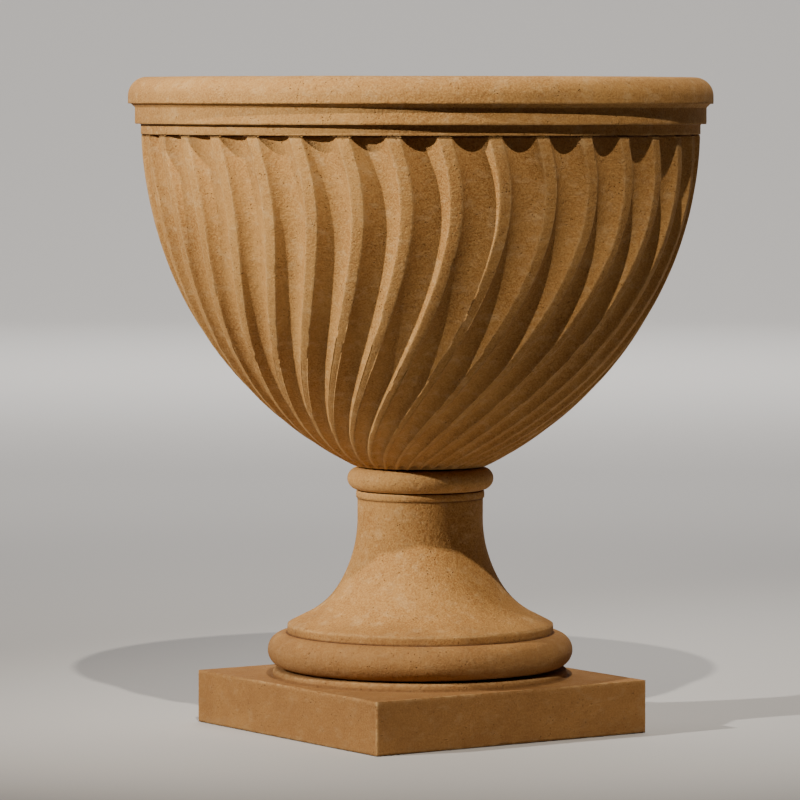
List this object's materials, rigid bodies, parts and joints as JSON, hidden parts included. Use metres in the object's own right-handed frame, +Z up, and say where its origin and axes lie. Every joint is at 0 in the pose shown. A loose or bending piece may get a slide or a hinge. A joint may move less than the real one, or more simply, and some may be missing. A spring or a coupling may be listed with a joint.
{
  "type": "urn planter",
  "caption": "Garden urn planter of cast stone: a deep round bowl with swirling flutes and a rolled rim, on a waisted round pedestal and a square plinth.",
  "frame": {"origin": "centre of the plinth's underside", "axes": "+Z up along the turning axis; +X and +Y square to the plinth's sides"},
  "size_m": [0.7632, 0.763, 0.8525],
  "materials": {
    "cast_stone": "matte sandy cast stone, finely pitted and weathered",
    "stainless_steel": "dull stainless steel",
    "setting_rubber": "matte black rubber",
    "reinforcing_steel": "dull galvanised steel"
  },
  "bodies": {
    "plinth": {"plinth": "cast_stone", "foot_setting_ring": "setting_rubber"},
    "pedestal": {"pedestal": "cast_stone", "drain_pipe": "stainless_steel", "neck_setting_ring": "setting_rubber"},
    "bowl": {"bowl": "cast_stone", "rim_hoop": "reinforcing_steel", "drain_screen": "stainless_steel"}
  },
  "joints": [
    {"name": "pedestal_lift", "type": "slide", "parent": "plinth", "child": "pedestal", "axis": [0, 0, 1], "range_m": [0, 0.12]},
    {"name": "bowl_lift", "type": "slide", "parent": "pedestal", "child": "bowl", "axis": [0, 0, 1], "range_m": [0, 0.12]}
  ]
}
